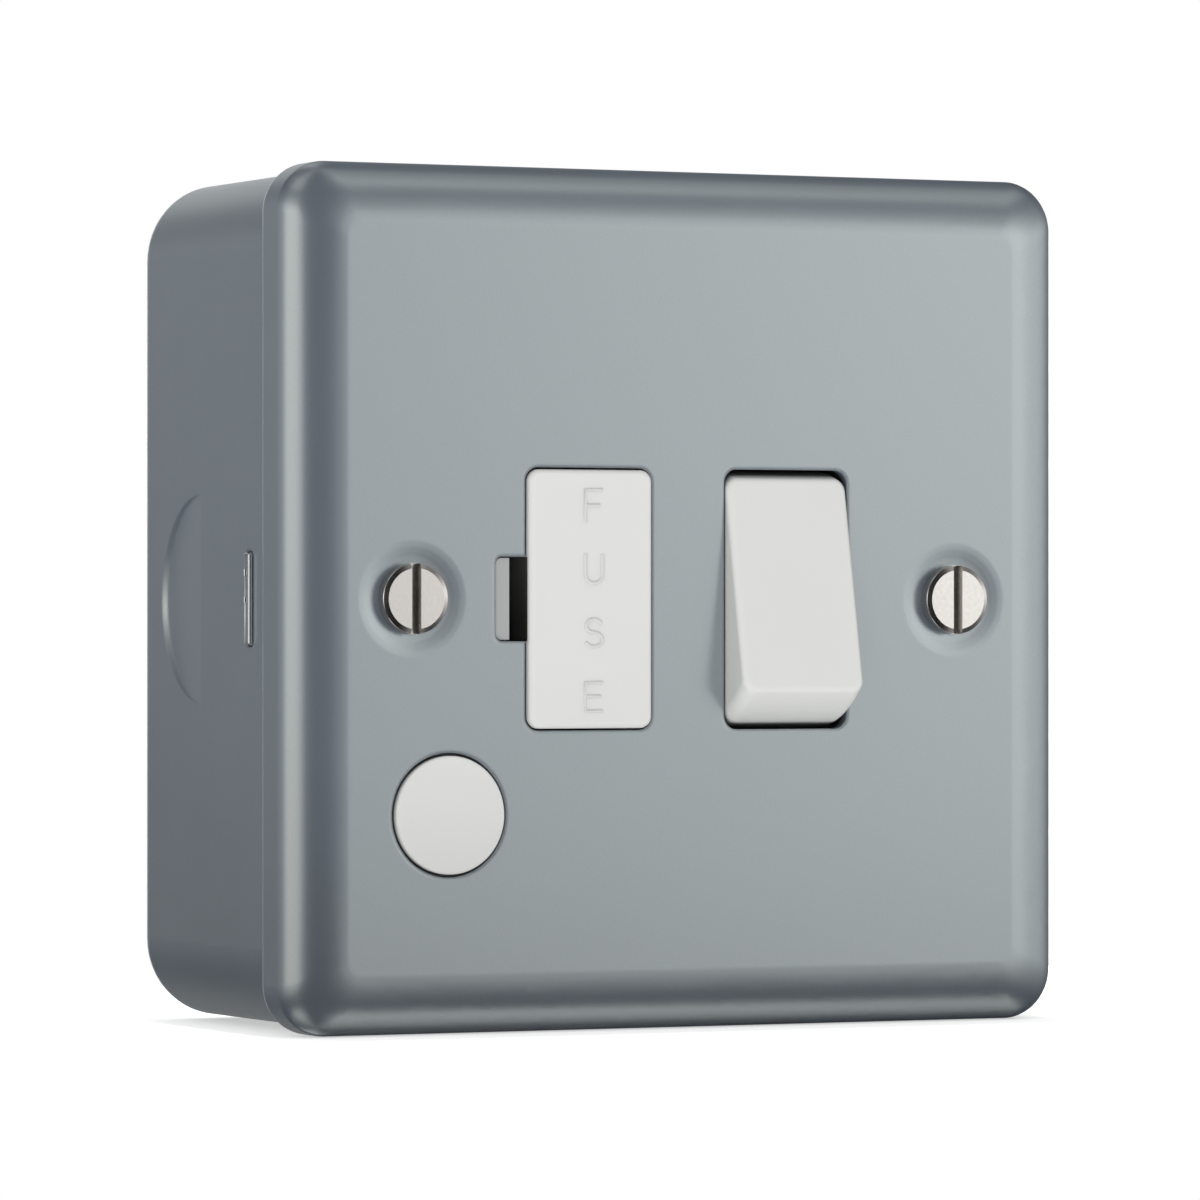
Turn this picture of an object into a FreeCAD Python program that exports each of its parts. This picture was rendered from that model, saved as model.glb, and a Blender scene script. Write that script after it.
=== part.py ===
import FreeCAD, Part
import math
import os

# Switched fused connection unit in a surface steel box.
# X runs to the right seen from the front, Y towards the wall, Z up.
# The origin is the centre of the face that lies on the wall.

V = FreeCAD.Vector

# Steel box and front plate
plate_width = 86.0
plate_height = 86.0
plate_corner_r = 5.0
plate_sheet = 1.2
plate_depth = 8.0
edge_in = 6.0
edge_deep = 3.8
rim_round = 0.8
crown_corner_share = 0.6
plate_overhang = 0.4
box_depth = 32.5
box_sheet = 1.2
box_corner_r = 8.0
box_back_r = 2.0

# Knockouts and wall fixings
knockout_r = 10.0
knockout_press = 0.45
knockout_bevel = 0.5
fixing_pitch_x = 52.0
fixing_pitch_z = 44.0
fixing_hole_r = 2.5

# Plate screws and the lugs that take them
screw_pitch = 60.3
screw_shank_r = 1.7
screw_length = 14.0
screw_head_r = 3.5
screw_face_r = 3.0
screw_head_high = 1.45
screw_bevel_deep = 0.24
screw_slot_wide = 1.0
screw_slot_deep = 1.1
screw_hole_r = 2.0
dish_r = 5.7
dish_floor_r = 3.7
dish_deep = 0.4
lug_behind_rim = 2.9
lug_thick = 1.3
lug_high = 13.0
lug_end = 4.6
lug_tongue_high = 9.2
lug_tongue_proud = 0.33
lug_tongue_round = 0.3
lug_slot_gap = 0.1
lug_collar_r = 3.1
lug_collar_long = 1.8
thread_gap = 0.05
tap_gap = 0.03

# Windows in the plate
window_wide = 13.9
window_high = 26.1
window_corner_r = 1.4
window_pitch = 22.0
notch_wide = 3.25
notch_high = 8.4
notch_corner_r = 0.8
ledge_wide = 1.65
ledge_gap = 0.15
ledge_sunk = 0.3
outlet_in = 16.8
outlet_up = 21.7
outlet_hole_r = 6.15

# Moulded module behind the plate
module_half_wide = 24.6
module_half_high = 26.5
module_corner_r = 1.5
flange_half_high = 33.5
flange_thick = 2.5
front_depth = 11.8
base_depth = 12.0
mould_wall = 1.5
front_wall = 1.8
floor_thick = 2.0
cutout_wide = 5.7
cutout_z = -14.2
flange_gap = 0.3
screw_relief_gap = 0.2
pocket_gap = 0.1
rocker_pocket_half_high = 13.5
pry_slot_deep = 10.8

# Rocker
rocker_gap = 0.2
rocker_pivot_deep = 5.0
rocker_end_r = 13.1
rocker_face = 7.4
rocker_rear = 2.0
rocker_wall = 1.6
rocker_corner_r = 1.3
rocker_edge_r = 0.6
rocker_swing = 11.5
trunnion_r = 1.5
trunnion_long = 1.4
trunnion_gap = 0.06
trunnion_end_gap = 0.2
stem_r = 2.6
stem_long = 7.0
stem_tie_short = 2.5
stem_tie_thick = 1.6

# Switch mechanism
pole_offset = 3.6
plunger_r = 1.3
plunger_tip_r = 1.2
plunger_long = 7.0
plunger_neck_long = 2.5
plunger_gap = 0.05
plunger_rest_gap = 0.3
spring_wire = 0.5
spring_gap = 0.05
lever_axis_deep = 17.4
lever_half_long = 8.0
lever_wide = 4.0
lever_thick = 1.0
lever_wing_angle = 8.05
knuckle_r = 1.4
knuckle_gap = 0.07
knuckle_in = 0.3
strip_thick = 0.8
strip_wide = 4.0
tip_r = 1.5
tip_high = 1.1
tip_place = 6.4
tip_gap = 0.1
fixed_tip_high = 0.75
anvil_past = 0.2
fulcrum_half = 2.2
fulcrum_in = 0.2
fulcrum_top_gap = 0.15

# Fuse, its carrier and its clips
fuse_long = 25.4
fuse_r = 3.175
fuse_cap_long = 6.0
fuse_tube_r = 2.95
fuse_cap_wall = 0.2
fuse_cap_edge_r = 0.4
fuse_deep = 12.5
carrier_gap = 0.2
carrier_proud = 0.7
carrier_face_thick = 3.3
carrier_corner_r = 1.2
carrier_edge_r = 0.5
carrier_travel = 16.0
pry_lip = 0.6
pry_bite = 1.8
pry_bite_deep = 9.5
cradle_half_wide = 4.6
cradle_half_high = 6.4
cradle_gap = 0.05
cradle_mouth = 5.2
cradle_rear_wall = 1.0
tie_thick = 2.0
rail_thick = 1.5
rail_half_high = 10.0
rail_rear_gap = 3.0
catch_high = 3.0
catch_out = 0.65
catch_place = 8.0
catch_deep = 1.0
catch_gap = 0.3
catch_play = 0.05
groove_wall = 1.0
clip_thick = 0.6
clip_gap = 0.33
clip_wide = 5.0
clip_flare = 1.6
clip_reach = 2.6

# Terminals and their screws
terminal_wide = 7.6
terminal_high = 8.0
terminal_deep = 8.0
terminal_row = 20.5
terminal_gap = 0.1
terminal_sunk = 1.0
wire_hole_r = 2.1
wire_port_r = 2.4
wire_hole_ahead = 0.5
terminal_screw_r = 1.7
terminal_head_r = 2.8
terminal_head_high = 1.9
terminal_slot_wide = 0.9
terminal_slot_deep = 0.8
terminal_screw_reach = 3.4
top_terminal_shares = {"earth_terminal_left": -0.65, "earth_terminal_right": -0.236,
                       "feed_live_terminal": 0.22, "feed_neutral_terminal": 0.675}
bottom_terminal_shares = {"load_live_terminal": -0.333, "load_neutral_terminal": 0.675}

# Small fixings inside
stud_r = 1.45
stud_long = 6.6
stud_row = 30.1
stud_gap = 0.1
stud_in = 5.1
stud_in_cutout = 11.6
nut_flats = 5.5
nut_thick = 2.4
strap_thick = 0.7
strap_wide = 4.2
strap_foot_past = 3.2
strap_foot_short = 0.5
strap_in = 0.3
strap_side_gap = 0.05
strap_hole_gap = 0.15
base_screw_z = 8.0
base_screw_r = 1.4
base_screw_head_r = 2.6
base_screw_head_high = 1.6
base_screw_long = 15.0
base_screw_slot_wide = 0.7
base_screw_slot_deep = 0.7
base_screw_end_gap = 0.5
base_boss_r = 2.9
plug_gap = 0.3
plug_proud = 0.5
plug_edge_r = 0.25
plug_leg_r = 4.9
plug_leg_wall = 1.2
plug_leg_long = 4.4
plug_slit = 2.0
plug_barb = 0.5
plug_barb_lead = 0.2
plug_slit_in = 0.2
eyelet_r = 8.0
eyelet_gap = 0.1
grip_pad_in = 2.3
grip_pad_past = 4.9
grip_z = -21.9
grip_in = 1.0
grip_bar_long = 14.6
grip_arch_r = 2.8
grip_arch_bore_r = 1.5
grip_bar_thick = 1.5
grip_bar_wide = 5.0
grip_screw_pitch = 10.4
grip_screw_r = 1.3
grip_hole_gap = 0.1
grip_screw_head_r = 2.3
grip_screw_head_high = 1.5
grip_screw_long = 8.0
earth_tab_wide = 10.0
earth_tab_rise = 5.0
earth_tab_thick = 1.0
earth_tab_in = 24.1
earth_tab_foot = 7.0
earth_screw_long = 4.5

# Places worked out from the sizes above
total_depth = box_depth + plate_depth
face_y = -total_depth
rim_y = -box_depth
plate_back_y = face_y + plate_sheet
front_rear_y = plate_back_y + front_depth
base_rear_y = front_rear_y + base_depth
floor_y = base_rear_y - floor_thick
box_half_x = plate_width / 2 - plate_overhang
box_half_z = plate_height / 2 - plate_overhang
fuse_x = -window_pitch / 2
rocker_x = window_pitch / 2
pivot_y = face_y + rocker_pivot_deep
lever_y = face_y + lever_axis_deep
fuse_y = face_y + fuse_deep
live_x = rocker_x - pole_offset
neutral_x = rocker_x + pole_offset
pocket_half_wide = window_wide / 2 + pocket_gap
fuse_pocket_half_high = window_high / 2 + pocket_gap
rocker_half_wide = window_wide / 2 - rocker_gap
carrier_half_wide = window_wide / 2 - carrier_gap
carrier_half_high = window_high / 2 - carrier_gap
strip_y = floor_y - strip_thick
terminal_floor_y = base_rear_y - terminal_sunk - terminal_deep
wire_hole_y = terminal_floor_y + terminal_deep / 2 - wire_hole_ahead
groove_half_wide = carrier_half_wide + catch_out + catch_gap
cutout_x = cutout_wide - module_half_wide
grip_pad_x = grip_pad_in - module_half_wide
grip_pad_end_x = cutout_x + grip_pad_past
outlet_x = outlet_in - plate_width / 2
outlet_z = outlet_up - plate_height / 2
eyelet_rear = plate_back_y + flange_thick + eyelet_gap
plug_leg_end = plate_back_y + plug_leg_long
stud_x = module_half_wide - stud_in
stud_places = [(-stud_x, 1), (stud_x, 1), (stud_in_cutout - module_half_wide, -1), (stud_x, -1)]
top_terminals = {name: share * module_half_wide for name, share in top_terminal_shares.items()}
bottom_terminals = {name: share * module_half_wide for name, share in bottom_terminal_shares.items()}
earth_tab_x = box_half_x - earth_tab_in


def block(x0, x1, y0, y1, z0, z1):
    return Part.makeBox(x1 - x0, y1 - y0, z1 - z0, V(x0, y0, z0))


def rod_y(radius, x, z, y0, y1):
    return Part.makeCylinder(radius, y1 - y0, V(x, y0, z), V(0, 1, 0))


def rod_x(radius, y, z, x0, x1):
    return Part.makeCylinder(radius, x1 - x0, V(x0, y, z), V(1, 0, 0))


def rod_z(radius, x, y, z0, z1):
    return Part.makeCylinder(radius, z1 - z0, V(x, y, z0), V(0, 0, 1))


def rounded_wire(half_x, half_z, radius, y, x=0.0, z=0.0):
    """Rounded rectangle that faces the front, at depth y."""
    edges = []
    ends = []
    for turn, (side_x, side_z) in enumerate([(1, 1), (-1, 1), (-1, -1), (1, -1)]):
        centre = V(x + side_x * (half_x - radius), y, z + side_z * (half_z - radius))
        points = []
        for share in (0, 0.5, 1):
            angle = (turn + share) * math.pi / 2
            points.append(centre + V(radius * math.cos(angle), 0, radius * math.sin(angle)))
        edges.append(Part.Arc(*points).toShape())
        ends.append((points[0], points[2]))
    sides = []
    for index in range(4):
        sides.append(Part.makeLine(ends[index][1], ends[(index + 1) % 4][0]))
    ordered = []
    for arc, side in zip(edges, sides):
        ordered += [arc, side]
    return Part.Wire(ordered)


def rounded_block(half_x, half_z, radius, y0, y1, x=0.0, z=0.0):
    face = Part.Face(rounded_wire(half_x, half_z, radius, y0, x, z))
    return face.extrude(V(0, y1 - y0, 0))


def outline_block(points, y0, y1):
    """Straight prism from an outline of (x, z) points."""
    wire = Part.makePolygon([V(x, y0, z) for x, z in points + points[:1]])
    return Part.Face(wire).extrude(V(0, y1 - y0, 0))


def fuse_all(shapes):
    joined = shapes[0].multiFuse(shapes[1:])
    return joined.removeSplitter()


def round_edges(shape, radius, along):
    """Fillet every straight edge that runs along the given direction."""
    chosen = []
    for edge in shape.Edges:
        if edge.Curve.TypeId != "Part::GeomLine":
            continue
        run = edge.Vertexes[1].Point - edge.Vertexes[0].Point
        if abs(run.normalize().dot(along)) > 0.999:
            chosen.append(edge)
    return shape.makeFillet(radius, chosen)


def crowned_prism(half_x, half_z, radius, across, deep, y_front, y_rear):
    """Rounded prism whose front edge is rolled over on a quarter ellipse."""
    sections = []
    steps = 6
    for step in range(steps + 1):
        angle = step / steps * math.pi / 2
        inset = across * (1 - math.cos(angle))
        depth = y_front + deep * (1 - math.sin(angle))
        corner = radius - crown_corner_share * inset
        sections.append(rounded_wire(half_x - inset, half_z - inset, corner, depth))
    crown = Part.makeLoft(sections, True, False)
    skirt = rounded_block(half_x, half_z, radius, y_front + deep, y_rear)
    return skirt.fuse(crown)


def plate_inside(gap=0.0):
    """Hollow of the front plate, less a gap all round."""
    inset = plate_sheet + gap
    return crowned_prism(plate_width / 2 - inset, plate_height / 2 - inset, plate_corner_r - plate_sheet,
                         edge_in - 0.6 * plate_sheet, edge_deep - 0.3 * plate_sheet, plate_back_y, rim_y)


def edges_at(shape, y):
    chosen = []
    for edge in shape.Edges:
        if all(abs(vertex.Y - y) < 1e-6 for vertex in edge.Vertexes):
            chosen.append(edge)
    return chosen


def plate_shell():
    outer = crowned_prism(plate_width / 2, plate_height / 2, plate_corner_r,
                          edge_in, edge_deep, face_y, rim_y)
    outer = outer.makeFillet(rim_round, edges_at(outer, rim_y))
    return outer.cut(plate_inside())


def dish_edges(front):
    """Soft S from the rim of a dish down to its floor, as two arcs."""
    wide = (dish_r - dish_floor_r) / 2
    drop = dish_deep / 2
    radius = (wide * wide + drop * drop) / (2 * drop)
    half_turn = math.atan(drop / wide)
    along = radius * math.sin(half_turn)
    down = radius * (1 - math.cos(half_turn))
    middle = V(dish_r - wide, front + drop, 0)
    floor = V(dish_floor_r, front + dish_deep, 0)
    return [Part.Arc(V(dish_r, front, 0), V(dish_r - along, front + down, 0), middle).toShape(),
            Part.Arc(middle, V(dish_floor_r + along, front + dish_deep - down, 0), floor).toShape(),
            Part.makeLine(floor, V(screw_hole_r, front + dish_deep, 0))]


def dish(x):
    """Dished seat for one plate screw, pressed from the sheet."""
    sides = [Part.makeLine(V(screw_hole_r, face_y + dish_deep, 0),
                           V(screw_hole_r, plate_back_y + dish_deep, 0)),
             Part.makeLine(V(dish_r, plate_back_y, 0), V(dish_r, face_y, 0))]
    inner = dish_edges(plate_back_y)
    inner.reverse()
    wire = Part.Wire(Part.__sortEdges__(dish_edges(face_y) + sides[:1] + inner + sides[1:]))
    ring = Part.Face(wire).revolve(V(0, 0, 0), V(0, 1, 0), 360)
    ring.translate(V(x, 0, 0))
    return ring


def front_plate():
    plate = plate_shell()
    cuts = []
    through = (face_y - 1, plate_back_y + 1)
    cuts.append(rounded_block(window_wide / 2, window_high / 2, window_corner_r, *through, x=fuse_x))
    cuts.append(rounded_block(window_wide / 2, window_high / 2, window_corner_r, *through, x=rocker_x))
    notch_x = fuse_x - window_wide / 2 - notch_wide / 2
    cuts.append(rounded_block((notch_wide + notch_corner_r) / 2 + 0.4, notch_high / 2, notch_corner_r,
                              *through, x=notch_x + notch_corner_r / 2 + 0.4))
    cuts.append(rod_y(outlet_hole_r, outlet_x, outlet_z, *through))
    for side in (-1, 1):
        cuts.append(rod_y(dish_r, side * screw_pitch / 2, 0, *through))
    plate = plate.cut(Part.makeCompound(cuts))
    parts = [plate, dish(-screw_pitch / 2), dish(screw_pitch / 2)]
    for x, side in stud_places:
        parts.append(rod_y(stud_r, x, side * stud_row, plate_back_y, plate_back_y + stud_long))
    return fuse_all(parts)


def knockout_wedge(place, inward, rear):
    """Rear half of one knockout, from flush at its middle to pressed in at its end."""
    side = inward.cross(rear)
    reach = knockout_r + knockout_bevel
    start = place - side * reach
    far = start + rear * reach
    profile = Part.makePolygon([start, far, far + inward * knockout_press * reach / knockout_r, start])
    wedge = Part.Face(profile).extrude(side * 2 * reach)
    disc = Part.makeCone(reach + knockout_bevel / 2, knockout_r - knockout_bevel / 2, 2 * knockout_press,
                         place - inward * knockout_press / 2, inward)
    return wedge.common(disc)


def press_knockouts(shell):
    """One knockout in each wall and one in the back."""
    middle = -box_depth / 2
    spots = [(V(-box_half_x, middle, 0), V(1, 0, 0), V(0, 1, 0)),
             (V(box_half_x, middle, 0), V(-1, 0, 0), V(0, 1, 0)),
             (V(0, middle, box_half_z), V(0, 0, -1), V(0, 1, 0)),
             (V(0, middle, -box_half_z), V(0, 0, 1), V(0, 1, 0)),
             (V(0, 0, 0), V(0, -1, 0), V(0, 0, -1))]
    for place, inward, rear in spots:
        wedge = knockout_wedge(place, inward, rear)
        shell = shell.cut(wedge)
        wedge.translate(inward * box_sheet)
        shell = shell.fuse(wedge)
    return shell.removeSplitter()


def back_box():
    outer = rounded_block(box_half_x, box_half_z, box_corner_r, rim_y, 0)
    outer = outer.makeFillet(box_back_r, edges_at(outer, 0))
    inner = rounded_block(box_half_x - box_sheet, box_half_z - box_sheet,
                          box_corner_r - box_sheet, rim_y - 1, -box_sheet)
    inner = inner.makeFillet(box_back_r - box_sheet, edges_at(inner, -box_sheet))
    shell = press_knockouts(outer.cut(inner))
    for side_x in (-1, 1):
        for side_z in (-1, 1):
            shell = shell.cut(rod_y(fixing_hole_r, side_x * fixing_pitch_x / 2,
                                    side_z * fixing_pitch_z / 2, -box_sheet - 1, 1))
    slot_y = rim_y + lug_behind_rim - lug_slot_gap
    slot_half = lug_tongue_high / 2 + lug_slot_gap
    for x in (-box_half_x, box_half_x):
        shell = shell.cut(block(x - box_sheet - 1, x + box_sheet + 1, slot_y,
                                slot_y + lug_thick + 2 * lug_slot_gap, -slot_half, slot_half))
    return shell


def lug(side):
    """Tapped lug whose tongue passes through the box wall."""
    y0 = rim_y + lug_behind_rim
    y1 = y0 + lug_thick
    screw_x = screw_pitch / 2
    inner_wall = box_half_x - box_sheet
    half = lug_high / 2
    nose = rod_y(lug_end, screw_x, 0, y0, y1)
    tab = outline_block([(screw_x, lug_end), (screw_x, -lug_end), (inner_wall, -half), (inner_wall, half)],
                        y0, y1)
    tongue_end = box_half_x + lug_tongue_proud
    tongue = block(inner_wall, tongue_end, y0, y1, -lug_tongue_high / 2, lug_tongue_high / 2)
    end_edges = []
    for edge in tongue.Edges:
        if all(abs(vertex.X - tongue_end) < 1e-6 for vertex in edge.Vertexes):
            end_edges.append(edge)
    tongue = tongue.makeFillet(lug_tongue_round, end_edges)
    collar = rod_y(lug_collar_r, screw_x, 0, y1, y1 + lug_collar_long)
    shape = fuse_all([tab, nose, tongue, collar])
    shape = shape.cut(rod_y(screw_shank_r + thread_gap, screw_x, 0, y0 - 1, y1 + lug_collar_long + 1))
    if side < 0:
        shape = shape.mirror(V(0, 0, 0), V(1, 0, 0))
    return shape


def plate_screw(side):
    """Flat-faced screw with a bevelled edge."""
    x = side * screw_pitch / 2
    seat = face_y + dish_deep
    top = seat - screw_head_high
    shoulder = top + screw_bevel_deep
    face = Part.makeCone(screw_face_r, screw_head_r, screw_bevel_deep, V(x, top, 0), V(0, 1, 0))
    head = fuse_all([face, rod_y(screw_head_r, x, 0, shoulder, seat)])
    head = head.makeFillet(screw_bevel_deep / 2, edges_at(head, shoulder))
    shank = rod_y(screw_shank_r, x, 0, seat, seat + screw_length)
    slot = block(x - screw_slot_wide / 2, x + screw_slot_wide / 2, top - 1, top + screw_slot_deep,
                 -screw_head_r - 1, screw_head_r + 1)
    return fuse_all([head, shank]).cut(slot)


def module_outline(half_wide, half_high, inset=0.0):
    """Outline with the lower left corner cut away for the flexible cord."""
    return [(-half_wide + inset, half_high - inset), (half_wide - inset, half_high - inset),
            (half_wide - inset, -half_high + inset), (cutout_x + inset, -half_high + inset),
            (cutout_x + inset, cutout_z + inset), (-half_wide + inset, cutout_z + inset)]


def pocket_walls(x, half_wide, half_high, wall, y0, y1):
    return block(x - half_wide - wall, x + half_wide + wall, y0, y1, -half_high - wall, half_high + wall)


def screw_relief(side):
    """Room that the module leaves for one plate screw, its dish and its lug."""
    x = side * screw_pitch / 2
    lug_rear = rim_y + lug_behind_rim + lug_thick + lug_collar_long + screw_relief_gap
    half = lug_high / 2 + screw_relief_gap
    ends = sorted((x, side * plate_width / 2))
    seat = rod_y(dish_r + screw_relief_gap, x, 0, plate_back_y - 1, lug_rear)
    tip = rod_y(screw_shank_r + screw_relief_gap, x, 0, plate_back_y, face_y + dish_deep + screw_length + 1)
    wall = block(ends[0], ends[1], plate_back_y - 1, lug_rear, -half, half)
    return Part.makeCompound([seat, tip, wall])


def module_front():
    outer = outline_block(module_outline(module_half_wide, module_half_high), plate_back_y, front_rear_y)
    outer = round_edges(outer, module_corner_r, V(0, 1, 0))
    hollow = outline_block(module_outline(module_half_wide, module_half_high, mould_wall),
                           plate_back_y + front_wall, front_rear_y + 1)
    flange = outline_block(module_outline(module_half_wide, flange_half_high),
                           plate_back_y, plate_back_y + flange_thick)
    flange = round_edges(flange, module_corner_r, V(0, 1, 0)).common(plate_inside(flange_gap))
    eyelet = rod_y(eyelet_r, outlet_x, outlet_z, plate_back_y, plate_back_y + flange_thick)
    web = block(outlet_x, cutout_x + 1, plate_back_y, plate_back_y + flange_thick,
                outlet_z - eyelet_r * 0.7, outlet_z + eyelet_r * 0.7)
    pad_low = grip_z - grip_bar_long / 2
    grip_pad = block(grip_pad_x, grip_pad_end_x, grip_y() - grip_bar_wide / 2, grip_y() + grip_bar_wide / 2,
                     pad_low, cutout_z + mould_wall)
    body = outer.cut(hollow)
    fuse_wall = groove_half_wide - pocket_half_wide + groove_wall
    y0 = plate_back_y + front_wall / 2
    ledge_y = face_y + ledge_sunk
    ledge = rounded_block(notch_wide / 2, notch_high / 2 - ledge_gap, notch_corner_r - ledge_gap,
                          ledge_y, y0, x=fuse_x - window_wide / 2 - notch_wide / 2 + ledge_gap)
    parts = [body, flange, eyelet, web, grip_pad, ledge,
             pocket_walls(fuse_x, pocket_half_wide, fuse_pocket_half_high, fuse_wall, y0, front_rear_y),
             pocket_walls(rocker_x, pocket_half_wide, rocker_pocket_half_high, mould_wall, y0, front_rear_y)]
    for side in (-1, 1):
        parts.append(rod_y(base_boss_r, 0, side * base_screw_z, y0, front_rear_y))
    shape = fuse_all(parts)
    ahead = plate_back_y - 1
    behind = front_rear_y + 1
    pry_x = fuse_x - window_wide / 2 - notch_wide + ledge_wide
    cuts = [rounded_block(pocket_half_wide, fuse_pocket_half_high, window_corner_r, ahead, behind, x=fuse_x),
            block(rocker_x - pocket_half_wide, rocker_x + pocket_half_wide, ahead, behind,
                  -rocker_pocket_half_high, rocker_pocket_half_high),
            block(pry_x, fuse_x, ledge_y - 1, plate_back_y + pry_slot_deep, -notch_high / 2, notch_high / 2),
            rod_y(plug_leg_r + plug_gap, outlet_x, outlet_z, ahead, behind),
            rod_y(plug_leg_r + 2 * plug_gap + plug_barb, outlet_x, outlet_z,
                  eyelet_rear - eyelet_gap, plug_leg_end + plug_gap)]
    catch_y = face_y - carrier_proud + carrier_rear_length() - catch_deep - carrier_travel
    for side in (-1, 1):
        z0 = side * catch_place - catch_high / 2 - catch_gap
        z1 = side * catch_place + catch_high / 2 + catch_gap
        cuts.append(block(fuse_x - groove_half_wide, fuse_x, catch_y - catch_play, behind, z0, z1))
        cuts.append(rod_y(base_screw_r + tap_gap, 0, side * base_screw_z,
                          base_rear_y - base_screw_long - base_screw_end_gap, behind))
        cuts += screw_relief(side).Solids
    reach = rocker_half_wide + trunnion_long + trunnion_end_gap
    seat_r = trunnion_r + trunnion_gap
    cuts.append(rod_x(seat_r, pivot_y, 0, rocker_x - reach, rocker_x + reach))
    cuts.append(block(rocker_x - reach, rocker_x + reach, pivot_y, behind, -seat_r, seat_r))
    for x, side in stud_places:
        cuts.append(rod_y(stud_r + stud_gap, x, side * stud_row, ahead, behind))
    for side in (-1, 1):
        cuts.append(rod_x(grip_screw_r + tap_gap, grip_y(), grip_z + side * grip_screw_pitch / 2,
                          grip_pad_x - 1, grip_pad_x + grip_screw_long))
    for cut in cuts:
        shape = shape.cut(cut)
    return shape


def carrier_rear_length():
    """Length of the carrier's rail from its face to its rear end."""
    return floor_y - rail_rear_gap - (face_y - carrier_proud)


def grip_y():
    return front_rear_y - grip_in - grip_bar_wide / 2


def terminal_places():
    places = []
    for name, x in top_terminals.items():
        places.append((name, x, 1))
    for name, x in bottom_terminals.items():
        places.append((name, x, -1))
    return places


def module_base():
    shape = outline_block(module_outline(module_half_wide, module_half_high), front_rear_y, base_rear_y)
    shape = round_edges(shape, module_corner_r, V(0, 1, 0))
    ahead = front_rear_y - 1
    behind = base_rear_y + 1
    cuts = [block(fuse_x - groove_half_wide, fuse_x + pocket_half_wide, ahead, floor_y,
                  -rocker_pocket_half_high, rocker_pocket_half_high),
            block(rocker_x - pocket_half_wide, rocker_x + pocket_half_wide, ahead, floor_y,
                  -rocker_pocket_half_high, rocker_pocket_half_high)]
    for name, x, side in terminal_places():
        half_x = terminal_wide / 2 + terminal_gap
        near = terminal_row - terminal_high / 2 - terminal_gap
        far = terminal_row + terminal_high / 2 + terminal_gap
        cuts.append(block(x - half_x, x + half_x, terminal_floor_y, behind, min(side * near, side * far),
                          max(side * near, side * far)))
        ends = sorted((side * (terminal_row + 1), side * (module_half_high + 1)))
        cuts.append(rod_z(wire_port_r, x, wire_hole_y, ends[0], ends[1]))
    slot_half = strip_wide / 2 + terminal_gap
    slot_y = strip_y - terminal_gap
    reach = terminal_row - 1
    cuts.append(block(live_x - slot_half, live_x + slot_half, slot_y, floor_y, 0, reach))
    cuts.append(block(neutral_x - slot_half, neutral_x + slot_half, slot_y, floor_y, -reach, reach))
    cuts.append(block(fuse_x - slot_half, fuse_x + slot_half, slot_y, floor_y, -reach, 0))
    cuts.append(block(fuse_x, live_x, slot_y, floor_y, -slot_half, slot_half))
    for side in (-1, 1):
        cuts.append(rod_y(base_screw_r + tap_gap, 0, side * base_screw_z, ahead, behind))
        cuts += screw_relief(side).Solids
    for cut in cuts:
        shape = shape.cut(cut)
    return shape


def base_screws():
    screws = []
    for side in (-1, 1):
        z = side * base_screw_z
        shank = rod_y(base_screw_r, 0, z, base_rear_y - base_screw_long, base_rear_y)
        head_rear = base_rear_y + base_screw_head_high
        head = rod_y(base_screw_head_r, 0, z, base_rear_y, head_rear)
        slot = block(-base_screw_head_r, base_screw_head_r, head_rear - base_screw_slot_deep, head_rear + 1,
                     z - base_screw_slot_wide / 2, z + base_screw_slot_wide / 2)
        screws.append(fuse_all([shank, head]).cut(slot))
    return Part.makeCompound(screws)


def retaining_nuts():
    """Hexagon nuts that hold the module to the plate's welded studs."""
    nuts = []
    radius = nut_flats / 2 / math.cos(math.radians(30))
    for x, side in stud_places:
        z = side * stud_row
        corners = []
        for index in range(6):
            angle = math.radians(60 * index)
            corners.append((x + radius * math.cos(angle), z + radius * math.sin(angle)))
        seat = plate_back_y + flange_thick
        if (x, side) == stud_places[0]:
            seat += strap_thick
        nut = outline_block(corners, seat, seat + nut_thick)
        nuts.append(nut.cut(rod_y(stud_r + tap_gap, x, z, seat - 1, seat + nut_thick + 1)))
    return Part.makeCompound(nuts)


def earth_strap():
    """Folded strip from the first stud to the two earth terminals."""
    x0 = strap_in - module_half_wide
    x1 = x0 + strap_wide
    first_stud_x = stud_places[0][0]
    z_leg = module_half_high + strap_side_gap
    foot_y = plate_back_y + flange_thick
    foot = block(x0, first_stud_x + strap_foot_past, foot_y, foot_y + strap_thick,
                 z_leg, flange_half_high - strap_foot_short)
    leg = block(x0, x1, foot_y, base_rear_y + strap_thick, z_leg, z_leg + strap_thick)
    tab_end = top_terminals["earth_terminal_right"] + terminal_wide / 2
    tab_low = terminal_row - terminal_high / 2
    tab = block(x0, tab_end, base_rear_y, base_rear_y + strap_thick, tab_low, tab_low + terminal_high)
    fold = block(x0, x1, base_rear_y, base_rear_y + strap_thick, tab_low, z_leg + strap_thick)
    shape = fuse_all([foot, leg, fold, tab])
    shape = shape.cut(rod_y(stud_r + stud_gap, first_stud_x, stud_row, foot_y - 1, foot_y + strap_thick + 1))
    for name in ("earth_terminal_left", "earth_terminal_right"):
        shape = shape.cut(rod_y(terminal_screw_r + strap_hole_gap, top_terminals[name], terminal_row,
                                base_rear_y - 1, base_rear_y + strap_thick + 1))
    return shape


def terminal_rear(name):
    """Depth of a terminal's rear face; the earth pair meets the strap."""
    if name.startswith("earth"):
        return base_rear_y
    return base_rear_y - terminal_sunk


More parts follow.
